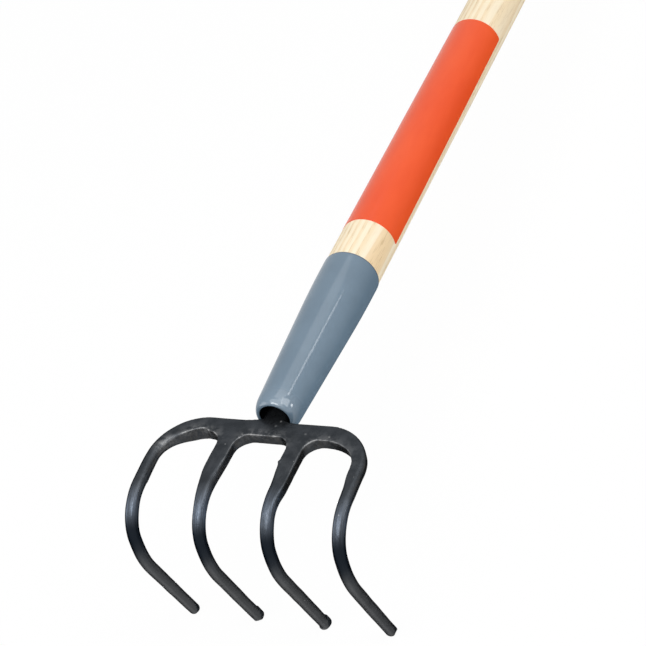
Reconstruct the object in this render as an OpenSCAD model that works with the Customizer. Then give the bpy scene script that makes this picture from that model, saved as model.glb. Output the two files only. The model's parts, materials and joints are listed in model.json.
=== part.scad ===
// Four tine hand cultivator: a forged head whose tang is driven into a long wooden handle,
// with a tapered ferrule round the joint. Sizes are in millimetres and degrees.
// Each piece is drawn in the tool's own frame: X runs across the tines, Y the way the tines hook,
// Z up the handle, and zero is the middle of the ferrule's mouth. lay_down() then rests the tool
// on its points and on the butt of the handle.

/* [Handle] */
// Diameter of the round handle
handle_d = 28.6; // [26:0.1:34]
// Length of the handle, from its nose inside the ferrule to its butt
handle_length = 1372; // [600:1:1800]
// Radius of the rounded edge of the butt
butt_round = 9; // [3:0.5:12]

/* [Ferrule] */
// Length of the ferrule
ferrule_length = 103; // [80:1:140]
// How far the ferrule's top stands proud of the handle
ferrule_proud = 0.4; // [0.2:0.05:1]
// Length of the top stretch, where the cone curves into a cylinder
ferrule_curve = 34; // [10:1:50]
// Thickness of the ferrule's wall
ferrule_wall = 0.9; // [0.6:0.1:1.5]
// Diameter of the hole in the ferrule's mouth
mouth_hole_d = 15.4; // [14:0.1:17]
// Flat land between the mouth's hole and the round of its lip
lip_land = 0.6; // [0.5:0.1:1.5]
// Outside radius of the turned in lip
lip_round = 2.8; // [1.8:0.1:3.2]
// How far the handle's nose stops short of the mouth
nose_setback = 18; // [8:1:30]
// Clearance between the handle and the ferrule
ferrule_clearance = 0.05; // [0.02:0.01:0.2]

/* [Tang] */
// Diameter of the tang where it enters the handle
tang_root_d = 10; // [8:0.1:12]
// Diameter of the tang at its end
tang_end_d = 5; // [3:0.1:7]
// Length of the tang inside the handle
tang_grip = 66; // [40:1:80]
// Chamfer round the tang's end
tang_chamfer = 1; // [0.5:0.1:1.4]
// Clearance round the tang in its bore
tang_clearance = 0.15; // [0.05:0.05:0.4]
// Thickness of the neck where it passes the mouth
neck_thickness = 5.6; // [4.5:0.1:6]
// Clearance round the neck in the mouth
neck_clearance = 0.5; // [0.3:0.1:1]
// How far the foot of the neck spreads along the yoke
neck_flare = 10; // [5:0.5:14]

/* [Yoke] */
// Distance from the ferrule's mouth to the top of the yoke
yoke_gap = 2.6; // [1.5:0.1:6]
// Height of the yoke along the handle
yoke_height = 9; // [7:0.1:12]
// Thickness of the yoke, front to back
yoke_thickness = 6.3; // [5.7:0.1:8]
// How far the yoke's middle plane lies behind the handle's axis
yoke_offset = 2.8; // [1:0.1:3.5]
// Rounding of the yoke's edges
edge_round = 0.6; // [0.3:0.1:1.5]
// Draft of the forging's walls, which narrow to the back
forging_draft = 8; // [0:0.5:10]
// Outside radius of the two shoulders
shoulder_radius = 25.5; // [18:0.5:30]
// Radius of the fillets in the arches between the tines
arch_fillet = 5; // [3:0.5:7]

/* [Tines] */
// Number of tines
tine_count = 4; // [3:1:6]
// Distance between the middles of two tines
tine_pitch = 35.1; // [30:0.1:45]
// Diameter of a tine at its bend
tine_d = 6.2; // [5:0.1:8]
// Width of an inner tine where it leaves the yoke
root_width = 7.8; // [6.5:0.1:11]
// How far the middle of that width lies outward of the tine's
root_offset = 0.3; // [0:0.1:0.6]
// Length below the arches over which a tine's inner wall stays flat
inner_flat = 8; // [2:0.5:14]
// Length below the arches over which an inner tine's outer wall stays flat
outer_flat = 18; // [4:0.5:24]
// Angle of the bend at which that outer wall has become round
round_angle = 36; // [10:1:60]
// Straight drop from the shoulders to the bend
tine_drop = 16; // [6:0.5:40]
// Radius of the bend, at the tine's middle
bend_radius = 20; // [14:0.5:40]
// Angle of the bend
bend_angle = 85; // [70:1:90]
// Radius of the sweep that follows the bend
sweep_radius = 53; // [30:1:90]
// Angle of the sweep
sweep_angle = 26; // [20:1:35]
// Length of the straight point
point_length = 52; // [20:1:80]
// Diameter of a tine at its point
point_d = 5.7; // [4.5:0.1:6.2]
// Rounding of the point's end
point_round = 1.6; // [0.8:0.1:2]

/* [Label] */
// Bare wood between the ferrule and the label
label_space = 28; // [5:1:80]
// Length of the label along the handle
label_length = 176; // [60:1:260]
// Thickness of the label's film
label_film = 0.12; // [0.08:0.02:0.5]
// Angle of handle that the label goes round
label_wrap = 250; // [90:1:350]
// Angle of the label's edge, from the X axis
label_edge = 2; // [-30:1:30]
// Clearance under the film
label_clearance = 0.03; // [0.02:0.01:0.1]

/* [Brad] */
// Diameter of the brad that pins the ferrule
brad_d = 1.8; // [1.2:0.1:2.5]
// Length of the brad under its head
brad_length = 10; // [6:0.5:11]
// Length of the brad's tapered point
brad_point_length = 1.8; // [0.8:0.1:3]
// Diameter of the end of that point
brad_point_d = 0.45; // [0.2:0.05:1]
// Diameter of the brad's head
brad_head_d = 4; // [3:0.1:6]
// Height of the brad's domed head
brad_head_h = 0.9; // [0.5:0.1:1.5]
// Distance from the ferrule's top to the brad
brad_inset = 11; // [6:0.5:30]
// Clearance round the brad and under its head
brad_clearance = 0.05; // [0.02:0.01:0.1]

/* [Hidden] */
$fn = 96;

// Facets of the lofted forging
section_sides = 16;
shoulder_steps = 10;
fillet_steps = 5;
root_steps = 12;
drop_steps = 6;
tang_steps = 6;
bend_steps = 8;
sweep_steps = 4;
round_steps = 3;
curve_steps = 6;
lip_steps = 8;
butt_steps = 10;
// How far joined lofts of the forging reach into one another
bury = 0.15;

handle_r = handle_d / 2;
tine_r = tine_d / 2;
point_r = point_d / 2;
butt_z = nose_setback + handle_length;

// Ferrule: a straight cone that eases into a cylinder over its top stretch
lip_r = mouth_hole_d / 2 + lip_land;
cone_foot_r = lip_r + lip_round;
ferrule_top_r = handle_r + ferrule_proud;
curve_start = ferrule_length - ferrule_curve;
cone_slope = (ferrule_top_r - cone_foot_r) / (curve_start + ferrule_curve / 2 - lip_round);
function ferrule_outside(z) = cone_foot_r + cone_slope * (z - lip_round)
    - cone_slope * pow(max(0, z - curve_start), 2) / (2 * ferrule_curve);
function ferrule_inside(z) = ferrule_outside(z) - ferrule_wall;
curve_heights = [for (i = [0:curve_steps]) curve_start + ferrule_curve * i / curve_steps];

// Head: heights along Z, and the middles of the shoulder and bend arcs
yoke_top = -yoke_gap;
yoke_bottom = yoke_top - yoke_height;
yoke_middle = (yoke_top + yoke_bottom) / 2;
outer_x = tine_pitch * (tine_count - 1) / 2;
shoulder_x = outer_x + tine_r - shoulder_radius;
shoulder_z = yoke_top - shoulder_radius;
bend_z = shoulder_z - tine_drop;
hook_angle = bend_angle + sweep_angle;
bend_middle = [yoke_offset + bend_radius, bend_z];
sweep_middle = bend_middle + (sweep_radius - bend_radius) * [cos(bend_angle), sin(bend_angle)];
sweep_end = sweep_middle - sweep_radius * [cos(hook_angle), sin(hook_angle)];
joined_half = yoke_thickness / 2 - bury;
draft = yoke_thickness / 2 * tan(forging_draft);
fillet_z = yoke_bottom + draft + bury - arch_fillet;
// Lengths along a tine's middle line, from the foot of the arches to the bend and to where it is round
straight = fillet_z - bend_z;
round_from = straight + bend_radius * round_angle * PI / 180;

// Neck: flush with the yoke's front, and as wide as the mouth's hole lets it be
neck_half = neck_thickness / 2;
neck_y = yoke_offset - yoke_thickness / 2 + neck_half;
neck_room = mouth_hole_d / 2 - neck_clearance - neck_half;
neck_half_width = neck_half + sqrt(max(0, neck_room * neck_room - neck_y * neck_y));
tang_end = nose_setback + tang_grip;

// Resting lean: the points and the butt's rounded edge meet one floor
point_core = point_r - point_round;
round_middle = sweep_end + (point_length - point_round) * [sin(hook_angle), -cos(hook_angle)];
lean_a = round_middle[0] - point_core * cos(hook_angle) - handle_r + butt_round;
lean_b = butt_z - butt_round - round_middle[1] + point_core * sin(hook_angle);
lean_c = butt_round - point_round;
lean = atan2(lean_a, lean_b) - asin(lean_c / norm([lean_a, lean_b]));
floor_reach = (butt_z - butt_round) * sin(lean) + (handle_r - butt_round) * cos(lean) + butt_round;
butt_reach = (butt_z - butt_round) * cos(lean) + (handle_r - butt_round) * sin(lean) + butt_round;
head_reach = sweep_middle[0] * sin(lean) - sweep_middle[1] * cos(lean) + sweep_radius + tine_r;

function mix(a, b, k) = a + (b - a) * k;
function ease(k) = k * k * (3 - 2 * k);

// A station of a loft: [middle, width direction, thickness direction, half thickness, one wall, other wall],
// where a wall is [reach, corner radius, draft]
function section(half_thickness, one_wall, other_wall) = [
    for (i = [0:section_sides - 1])
        let (turn = (i + 0.5) * 360 / section_sides, wall = cos(turn) > 0 ? one_wall : other_wall)
            let (deep = sign(sin(turn)) * (half_thickness - wall[1]) + wall[1] * sin(turn))
                let (wide = wall[0] - wall[1] * (1 - abs(cos(turn))) - wall[2] * deep / half_thickness)
                    [sign(cos(turn)) * wide, deep]
];
function ring(s) = [for (p = section(s[3], s[4], s[5])) s[0] + p[0] * s[1] + p[1] * s[2]];
function flip(v) = [-v[0], v[1], v[2]];
function mirrored(stations) = [
    for (i = [len(stations) - 1:-1:0])
        let (s = stations[i]) [flip(s[0]), flip(s[1]), s[2], s[3], s[4], s[5]]
];

// A closed solid through the rings of its stations
module loft(stations) {
    n = section_sides;
    last = len(stations) - 1;
    sides = [
        for (s = [0:last - 1], i = [0:n - 1])
            let (a = s * n + i, b = s * n + (i + 1) % n)
                each [[a, b, b + n], [a, b + n, a + n]]
    ];
    ends = [[for (i = [n - 1:-1:0]) i], [for (i = [0:n - 1]) last * n + i]];
    polyhedron(points = [for (s = stations) each ring(s)], faces = concat(ends, sides));
}

// A wall of a tine, eased from flat to round
function eased_wall(reach, k) = [mix(reach, tine_r, k), mix(edge_round, tine_r, k), mix(draft, 0, k)];
function rounded(along, from, to) = ease(min(1, max(0, (along - from) / (to - from))));

// The yoke from its middle to the end of a shoulder, whose outer wall has become round
function yoke_and_shoulder() = concat(
    [
        let (wall = [yoke_height / 2, edge_round, draft])
            [[0, yoke_offset, yoke_middle], [0, 0, 1], [0, 1, 0], yoke_thickness / 2, wall, wall]
    ],
    [
        for (i = [0:shoulder_steps])
            let (k = ease(i / shoulder_steps), turn = 90 * i / shoulder_steps, out = [sin(turn), 0, cos(turn)])
                [
                    [shoulder_x, yoke_offset, shoulder_z] + (shoulder_radius - tine_r) * out,
                    out,
                    [0, 1, 0],
                    mix(yoke_thickness / 2, tine_r, k),
                    eased_wall(tine_r, k),
                    [mix(yoke_height - tine_r, tine_r, k), edge_round, draft]
                ]
    ]
);

// The drop below a shoulder, whose inner wall eases to round
function drop() = [
    for (i = [1:drop_steps - 1])
        let (z = mix(shoulder_z, bend_z, i / drop_steps))
            [
                [outer_x, yoke_offset, z],
                [1, 0, 0],
                [0, 1, 0],
                tine_r,
                [tine_r, tine_r, 0],
                eased_wall(tine_r, ease(i / drop_steps))
            ]
];

// The root of an inner tine: flared into the arches, then flat walled, then easing to round in the bend
function tine_root(x) = concat(
    [root_station(x, fillet_z - yoke_middle, arch_fillet)],
    [
        for (i = [0:fillet_steps - 1])
            let (turn = 90 - 90 * i / fillet_steps)
                root_station(x, -arch_fillet * sin(turn), arch_fillet * (1 - cos(turn)))
    ],
    [for (i = [0:root_steps - 1]) root_station(x, round_from * i / root_steps, 0)]
);
function root_station(x, along, flare) =
    let (inner = rounded(along, inner_flat, straight), outer = rounded(along, outer_flat, round_from))
    let (turn = max(0, along - straight) / bend_radius * 180 / PI)
    let (side = bend_middle - bend_radius * [cos(turn), sin(turn)] + [0, max(0, straight - along)])
        [
            [x, side[0], side[1]],
            [1, 0, 0],
            [0, cos(turn), sin(turn)],
            mix(joined_half, tine_r, max(inner, outer)),
            eased_wall(root_width / 2 + root_offset + flare, outer),
            eased_wall(root_width / 2 - root_offset + flare, inner)
        ];

// The rest of a tine, from a given angle of its bend on: round bend, sweep and point
function hook(x, from) = concat(
    [for (i = [0:bend_steps]) arc_station(x, bend_middle, bend_radius, mix(from, bend_angle, i / bend_steps))],
    [
        for (i = [1:sweep_steps])
            arc_station(x, sweep_middle, sweep_radius, bend_angle + sweep_angle * i / sweep_steps)
    ],
    [
        for (i = [0:round_steps])
            let (turn = 90 * i / round_steps)
            let (along = point_length - point_round * (1 - sin(turn)))
                point_station(x, along, point_r - point_round * (1 - cos(turn)))
    ]
);
function arc_station(x, middle, radius, turn) = round_station(
    x, middle - radius * [cos(turn), sin(turn)], turn, tine_r
);
function point_station(x, along, r) = round_station(
    x, sweep_end + along * [sin(hook_angle), -cos(hook_angle)], hook_angle, r
);
function round_station(x, side, turn, r) = [
    [x, side[0], side[1]], [1, 0, 0], [0, cos(turn), sin(turn)], r, [r, r, 0], [r, r, 0]
];

// The neck from inside the yoke to the mouth, then the tapered round tang
function neck_and_tang() = concat(
    [neck_station(yoke_middle, neck_flare, 0)],
    [
        for (i = [0:fillet_steps])
            let (turn = 90 - 90 * i / fillet_steps)
                neck_station(-(yoke_gap + draft + bury) * sin(turn), neck_flare * (1 - cos(turn)), i / fillet_steps)
    ],
    [
        for (i = [1:tang_steps])
            let (k = ease(i / tang_steps))
                tang_station(
                    nose_setback * i / tang_steps,
                    mix(neck_y, 0, k),
                    mix(neck_half_width, tang_root_d / 2, k),
                    mix(neck_half, tang_root_d / 2, k)
                )
    ],
    [
        for (cut = [0, tang_chamfer])
            let (r = tang_end_d / 2 - cut)
                tang_station(tang_end - tang_chamfer + cut, 0, r, r)
    ]
);
function neck_station(z, flare, k) =
    let (wall = [neck_half_width + flare, mix(edge_round, neck_half, k), 0], y = mix(yoke_offset, neck_y, k))
        [[0, y, z], [1, 0, 0], [0, -1, 0], mix(joined_half, neck_half, k), wall, wall];
function tang_station(z, y, half_width, half_thickness) =
    let (wall = [half_width, half_thickness, 0])
        [[0, y, z], [1, 0, 0], [0, -1, 0], half_thickness, wall, wall];

// Rests the tool on the floor at Z = 0, handle along X, with zero in the middle of its length
module lay_down() {
    translate([(head_reach - butt_reach) / 2, 0, floor_reach])
        rotate([0, lean, 0])
            rotate([-90, 0, -90])
                children();
}

module forged_head() {
    side = concat(yoke_and_shoulder(), drop(), hook(outer_x, 0));
    color("#34383d")
        lay_down()
            union() {
                loft(concat(mirrored([for (i = [1:len(side) - 1]) side[i]]), side));
                for (i = [1:tine_count - 2]) {
                    x = tine_pitch * i - outer_x;
                    tine = concat(tine_root(abs(x)), hook(abs(x), round_angle));
                    loft(x < 0 ? mirrored(tine) : tine);
                }
                loft(neck_and_tang());
            }
}

module ferrule() {
    bead = ferrule_wall / 2;
    lip_turns = [for (i = [0:lip_steps]) 90 * i / lip_steps];
    outside = concat(
        [for (turn = lip_turns) [lip_r, lip_round] + lip_round * [sin(turn), -cos(turn)]],
        [for (z = curve_heights) [ferrule_outside(z), z]]
    );
    inside = concat(
        [for (i = [curve_steps:-1:0]) [ferrule_inside(curve_heights[i]), curve_heights[i]]],
        [
            for (i = [lip_steps:-1:0])
                [lip_r, lip_round] + (lip_round - ferrule_wall) * [sin(lip_turns[i]), -cos(lip_turns[i])]
        ]
    );
    hole_edge = [
        for (i = [0:lip_steps])
            [mouth_hole_d / 2 + bead, bead] + bead * [-sin(180 * i / lip_steps), cos(180 * i / lip_steps)]
    ];
    color("#7b8b9b")
        lay_down()
            difference() {
                rotate_extrude() polygon(concat(outside, inside, hole_edge));
                brad_hole();
            }
}

module handle() {
    tenon = [for (z = concat([nose_setback], curve_heights)) [ferrule_inside(z) - ferrule_clearance, z]];
    butt = [
        for (i = [0:butt_steps])
            [handle_r - butt_round, butt_z - butt_round]
                + butt_round * [cos(90 * i / butt_steps), sin(90 * i / butt_steps)]
    ];
    seat_z = ferrule_length + ferrule_clearance;
    seat = [[tenon[len(tenon) - 1][0], seat_z], [handle_r, seat_z]];
    color("#e8d2a6")
        lay_down()
            difference() {
                rotate_extrude() polygon(concat([[0, nose_setback]], tenon, seat, butt, [[0, butt_z]]));
                translate([0, 0, nose_setback])
                    cylinder(
                        h = tang_grip + tang_clearance,
                        r1 = tang_root_d / 2 + tang_clearance,
                        r2 = tang_end_d / 2 + tang_clearance
                    );
                brad_hole();
            }
}

module label() {
    color("#ee5a2e")
        lay_down()
            translate([0, 0, ferrule_length + label_space])
                rotate([0, 0, label_edge - label_wrap])
                    rotate_extrude(angle = label_wrap)
                        translate([handle_r + label_clearance, 0])
                            square([label_film, label_length]);
}

// Points the brad's axis out of the ferrule's back, with zero under its head
module at_brad() {
    brad_z = ferrule_length - brad_inset;
    translate([0, ferrule_outside(brad_z + brad_head_d / 2) + brad_clearance, brad_z])
        rotate([-90, 0, 0])
            children();
}

module brad_hole() {
    at_brad()
        translate([0, 0, -brad_length - brad_clearance])
            cylinder(h = brad_length + brad_head_h, d = brad_d + 2 * brad_clearance);
}

module ferrule_brad() {
    dome_r = (pow(brad_head_d / 2, 2) + pow(brad_head_h, 2)) / (2 * brad_head_h);
    color("#b4b8bd")
        lay_down()
            at_brad() {
                translate([0, 0, brad_point_length - brad_length])
                    cylinder(h = brad_length - brad_point_length + brad_head_h / 2, d = brad_d);
                translate([0, 0, -brad_length])
                    cylinder(h = brad_point_length, d1 = brad_point_d, d2 = brad_d);
                intersection() {
                    cylinder(h = brad_head_h, d = brad_head_d);
                    translate([0, 0, brad_head_h - dome_r]) sphere(r = dome_r);
                }
            }
}

forged_head();
ferrule();
handle();
label();
ferrule_brad();
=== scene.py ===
"""Looks of a long handled garden cultivator: its forged head, enamelled ferrule, ash handle and label.

Every piece is drawn in millimetres in the tool's own frame: X runs across the tines, Y the way the tines
hook, Z up the handle, and zero is the middle of the ferrule's mouth. The mount on the handle places it.
"""
import json
import math

import bmesh
import bpy
import numpy as np
from mathutils import Matrix, Vector, noise


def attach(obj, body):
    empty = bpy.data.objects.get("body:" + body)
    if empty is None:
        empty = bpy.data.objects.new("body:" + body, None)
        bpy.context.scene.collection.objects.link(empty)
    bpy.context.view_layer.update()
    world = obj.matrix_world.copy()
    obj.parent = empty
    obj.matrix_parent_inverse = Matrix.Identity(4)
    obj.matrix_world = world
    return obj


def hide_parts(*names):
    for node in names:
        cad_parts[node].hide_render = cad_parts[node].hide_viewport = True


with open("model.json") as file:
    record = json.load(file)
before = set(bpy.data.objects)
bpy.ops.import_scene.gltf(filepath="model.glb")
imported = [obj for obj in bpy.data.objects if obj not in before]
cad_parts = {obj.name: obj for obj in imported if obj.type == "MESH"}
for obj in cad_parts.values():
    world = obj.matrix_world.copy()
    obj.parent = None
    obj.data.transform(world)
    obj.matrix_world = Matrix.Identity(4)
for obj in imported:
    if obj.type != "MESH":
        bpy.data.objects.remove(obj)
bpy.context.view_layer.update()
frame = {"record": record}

MM = 0.001
RIGHT, BACK, UP = (1, 0, 0), (0, 1, 0), (0, 0, 1)

# Sizes of the handle and its label
HANDLE_D = 28.6
HANDLE_LENGTH = 1372
BUTT_ROUND = 9
NOSE_SETBACK = 18
LABEL_SPACE = 28
LABEL_LENGTH = 176
LABEL_FILM = 0.12
LABEL_CLEARANCE = 0.03
LABEL_WRAP = 250
LABEL_EDGE_LOW = 6.5
LABEL_EDGE_HIGH = -3.5
LABEL_CORNER = 1.2
BUBBLE_TURN = -9
BUBBLE_SPREAD = 5
BUBBLE_HEIGHT = 77
BUBBLE_LENGTH = 3
BUBBLE_RISE = 0.2

# Sizes of the ferrule and its brad
FERRULE_LENGTH = 103
FERRULE_PROUD = 0.4
FERRULE_CURVE = 34
FERRULE_WALL = 0.9
FERRULE_CLEARANCE = 0.05
FERRULE_RIM_ROUND = 0.3
RIM_OVERRUN = 2.0
RIM_START = 15
MOUTH_HOLE_D = 15.4
LIP_LAND = 0.6
LIP_ROUND = 2.8
LIP_RISE = 8.0
BRAD_D = 1.8
BRAD_LENGTH = 10
BRAD_HEAD_D = 4
BRAD_HEAD_H = 0.9
BRAD_INSET = 11
BRAD_POINT_LENGTH = 1.8
BRAD_POINT_D = 0.45

# Sizes of the forged head
TANG_ROOT_D = 10
TANG_END_D = 5
TANG_GRIP = 66
TANG_CHAMFER = 1
TANG_CLEARANCE = 0.15
NECK_THICKNESS = 5.6
NECK_CLEARANCE = 0.5
NECK_FLARE = 10
YOKE_GAP = 2.6
YOKE_HEIGHT = 9.0
YOKE_THICKNESS = 6.3
YOKE_OFFSET = 2.8
EDGE_ROUND = 0.35
SHOULDER_RADIUS = 25.5
ARCH_FILLET = 5
TINE_COUNT = 4
TINE_PITCH = 35.1
TINE_D = 6.2
ROOT_WIDTH = 7.8
ROOT_OFFSET = 0.3
FORGING_DRAFT = 8
INNER_FLAT = 8
OUTER_FLAT = 18
ROUND_ANGLE = 36
TINE_DROP = 16
BEND_RADIUS = 20
BEND_ANGLE = 85
SWEEP_RADIUS = 53
SWEEP_ANGLE = 26
POINT_LENGTH = 52
POINT_D = 5.7

# Where this forging differs from an even one
BEND_CORNER = 2.3
BEND_SLIM = 0.96
ARCH_ROLL = 2.2
ROLL_FROM = 19
ROLL_DEPTH = 1.3
LEFT_FLARE = 2.2
LONGER_FLAT = 5
END_ROUND = 0.5
SOFT_FILLET = 8.5
# Shares of the rolled shoulder's turn over which the roll fades and the wall goes round
ROLL_FADES = (0.1, 0.6)
ROLL_ROUNDS = (0.25, 0.85)

# Fineness of the meshes
TURNS = 144
SECTION_SIDES = 48
SHOULDER_STEPS = 36
FILLET_STEPS = 12
ROOT_STEPS = 40
DROP_STEPS = 16
BEND_STEPS = 28
SWEEP_STEPS = 16
POINT_STEPS = 6
ROUND_STEPS = 6
LIP_STEPS = 20
RIM_STEPS = 5
CURVE_STEPS = 24
BUTT_STEPS = 20
LABEL_STEPS = 160
SKIN_VOXEL = 0.42
SKIN_PASSES = 3
EDGE_PASSES = 3
CRISP_TURN = 40

# Places worked out from the sizes
HANDLE_R = HANDLE_D / 2
BUTT_Z = NOSE_SETBACK + HANDLE_LENGTH
SEAT_Z = FERRULE_LENGTH + FERRULE_CLEARANCE
TANG_END = NOSE_SETBACK + TANG_GRIP
LIP_R = MOUTH_HOLE_D / 2 + LIP_LAND
CONE_FOOT_R = LIP_R + LIP_ROUND
FERRULE_TOP_R = HANDLE_R + FERRULE_PROUD
CURVE_START = FERRULE_LENGTH - FERRULE_CURVE
RIM_TOP = FERRULE_LENGTH + RIM_OVERRUN
CONE_SLOPE = (FERRULE_TOP_R - CONE_FOOT_R) / (CURVE_START + FERRULE_CURVE / 2 - LIP_ROUND)
TINE_R = TINE_D / 2
POINT_R = POINT_D / 2
YOKE_TOP = -YOKE_GAP
YOKE_BOTTOM = YOKE_TOP - YOKE_HEIGHT
YOKE_MIDDLE = (YOKE_TOP + YOKE_BOTTOM) / 2
OUTER_X = TINE_PITCH * (TINE_COUNT - 1) / 2
SHOULDER_X = OUTER_X + TINE_R - SHOULDER_RADIUS
SHOULDER_Z = YOKE_TOP - SHOULDER_RADIUS
BEND_Z = SHOULDER_Z - TINE_DROP
HOOK_ANGLE = BEND_ANGLE + SWEEP_ANGLE
DRAFT = YOKE_THICKNESS / 2 * math.tan(math.radians(FORGING_DRAFT))
FILLET_Z = YOKE_BOTTOM + DRAFT - ARCH_FILLET
# Lengths along a tine's middle line, from the foot of the arches to the bend and to where it is round
STRAIGHT = FILLET_Z - BEND_Z
ROUND_FROM = STRAIGHT + BEND_RADIUS * math.radians(ROUND_ANGLE)


def direction(angle):
    """The cosine and sine of an angle in degrees, which is a unit vector in the plane of a tine."""
    return np.array([math.cos(math.radians(angle)), math.sin(math.radians(angle))])


BEND_MIDDLE = np.array([YOKE_OFFSET + BEND_RADIUS, BEND_Z])
SWEEP_MIDDLE = BEND_MIDDLE + (SWEEP_RADIUS - BEND_RADIUS) * direction(BEND_ANGLE)
SWEEP_END = SWEEP_MIDDLE - SWEEP_RADIUS * direction(HOOK_ANGLE)
POINT_WAY = np.array([math.sin(math.radians(HOOK_ANGLE)), -math.cos(math.radians(HOOK_ANGLE))])
POINT_END = SWEEP_END + POINT_LENGTH * POINT_WAY
OUTER_WAY = np.array([0, POINT_WAY[1], -POINT_WAY[0]])
TINE_XS = [TINE_PITCH * i - OUTER_X for i in range(TINE_COUNT)]

# The tool's frame in the row's: the mount lies on the handle's axis, in the middle of its round wall
GRIP = frame["record"]["mounts"][0]
UP_HANDLE = Vector(GRIP["axis"]).normalized()
ACROSS = Vector((0, -1, 0))
HOOK_WAY = UP_HANDLE.cross(ACROSS)
MOUTH = Vector(GRIP["pos_m"]) - UP_HANDLE * (SEAT_Z + GRIP["dims"]["length_mm"] / 2) * MM
TOOL = np.array([ACROSS, HOOK_WAY, UP_HANDLE])


def in_row(points):
    """Points of the tool's frame in millimetres, as points of the row's frame in metres."""
    return np.asarray(points, float) @ TOOL * MM + np.array(MOUTH)


def mix(a, b, k):
    return a + (b - a) * k


def ease(k):
    return k * k * (3 - 2 * k)


def smooth_step(low, high, values):
    return ease(np.clip((values - low) / (high - low), 0, 1))


# Meshes

def coordinates(mesh, kind="co"):
    values = np.empty(len(mesh.vertices) * 3)
    mesh.vertices.foreach_get(kind, values)
    return values.reshape(-1, 3)


def write_attribute(mesh, name, values):
    """Keeps a number, or a vector, for each point of the mesh, for the materials to read."""
    vectors = np.ndim(values) == 2
    made = mesh.attributes.new(name, "FLOAT_VECTOR" if vectors else "FLOAT", "POINT")
    made.data.foreach_set("vector" if vectors else "value", np.ravel(values).astype(np.float32))


def build_mesh(name, points, faces):
    """A smooth mesh from points in the tool's frame, crisp along its sharper edges."""
    mesh = bpy.data.meshes.new(name)
    mesh.from_pydata([tuple(p) for p in in_row(points)], [], faces)
    shaped = bmesh.new()
    shaped.from_mesh(mesh)
    bmesh.ops.recalc_face_normals(shaped, faces=shaped.faces)
    shaped.to_mesh(mesh)
    shaped.free()
    mesh.shade_smooth()
    mesh.set_sharp_from_angle(angle=math.radians(CRISP_TURN))
    write_attribute(mesh, "place", points)
    return mesh


def show(mesh, material, node):
    """Puts a finished piece on the tool, in the place of its solid."""
    piece = bpy.data.objects.new(mesh.name, mesh)
    bpy.context.scene.collection.objects.link(piece)
    mesh.materials.append(material)
    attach(piece, "root")
    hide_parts(node)


def revolve(profile, closed):
    """Points and faces of a profile of (radius, height) turned about the handle's axis."""
    turns = np.arange(TURNS) * 2 * np.pi / TURNS
    points, rings = [], []
    for radius, height in profile:
        start = len(points)
        if radius == 0:
            points.append((0, 0, height))
            rings.append([start] * TURNS)
        else:
            points += [(radius * math.cos(a), radius * math.sin(a), height) for a in turns]
            rings.append(list(range(start, start + TURNS)))
    pairs = list(zip(rings, rings[1:] + rings[:1]))
    faces = []
    for low, high in pairs if closed else pairs[:-1]:
        for i in range(TURNS):
            j = (i + 1) % TURNS
            corners = [low[i], low[j], high[j], high[i]]
            faces.append(list(dict.fromkeys(corners)))
    return np.array(points), faces


def arc(middle, radius, start, end, steps):
    """Points of an arc about middle, from a start to an end angle in degrees."""
    turns = np.radians(np.linspace(start, end, steps + 1))
    return [(middle[0] + radius * math.cos(a), middle[1] + radius * math.sin(a)) for a in turns]


# Forged head

def ring(middle, wide, thick, half_thickness, one_side, other_side):
    """One section of the forging.

    Each side has a reach, a corner radius and a draft that narrows it to the back.
    """
    turn = (np.arange(SECTION_SIDES) + 0.5) * 2 * np.pi / SECTION_SIDES
    reach, corner, draft = (np.where(np.cos(turn) > 0, a, b) for a, b in zip(one_side, other_side))
    along_thickness = np.sign(np.sin(turn)) * (half_thickness - corner) + corner * np.sin(turn)
    along_width = reach - corner + corner * abs(np.cos(turn)) - draft * along_thickness / half_thickness
    across = np.sign(np.cos(turn)) * along_width
    return np.asarray(middle) + np.outer(across, wide) + np.outer(along_thickness, thick)


def rod(x, side, angle, r, corner=None):
    """A section of a tine whose middle line has turned by that angle, round unless it has smaller corners."""
    wall = (r, corner or r, 0)
    return ring((x, *side), RIGHT, (0, *direction(angle)), r, wall, wall)


def eased_wall(reach, k):
    """A wall of a tine, eased from flat to nearly round."""
    return mix(reach, TINE_R * BEND_SLIM, k), mix(EDGE_ROUND, BEND_CORNER, k), mix(DRAFT, 0, k)


def root_ring(x, along, flare=0, longer=0):
    """A section of a tine's root, that far along its middle line below the arches."""
    inner = smooth_step(INNER_FLAT, STRAIGHT, along)
    outer = smooth_step(OUTER_FLAT + longer, ROUND_FROM, along)
    angle = math.degrees(max(0, along - STRAIGHT) / BEND_RADIUS)
    y, z = BEND_MIDDLE - BEND_RADIUS * direction(angle) + (0, max(0, STRAIGHT - along))
    half_thickness = mix(YOKE_THICKNESS / 2, TINE_R, max(inner, outer))
    outside = eased_wall(ROOT_WIDTH / 2 + ROOT_OFFSET + flare, outer)
    inside = eased_wall(ROOT_WIDTH / 2 - ROOT_OFFSET + flare, inner)
    return ring((x, y, z), RIGHT, (0, *direction(angle)), half_thickness, outside, inside)


def arch_wall(reach, roll):
    """The wall of the yoke in an arch, set back at its front by the roll."""
    return reach - roll / 2, EDGE_ROUND, DRAFT - roll / 2


def shoulder_wall(along, rolled):
    """The inner wall at a share of a shoulder's turn. A rolled one goes round early and lies deeper."""
    reach = mix(YOKE_HEIGHT - TINE_R, TINE_R, ease(along))
    wall = arch_wall(reach, rolled * (1 - smooth_step(*ROLL_FADES, along)))
    if not rolled:
        return wall
    early = smooth_step(*ROLL_ROUNDS, along)
    reach, corner, draft = (mix(a, b, early) for a, b in zip(wall, (TINE_R, TINE_R, 0)))
    deeper = ROLL_DEPTH / 2 * math.sin(math.pi * along) ** 2
    return reach + deeper, corner, draft - deeper


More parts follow.
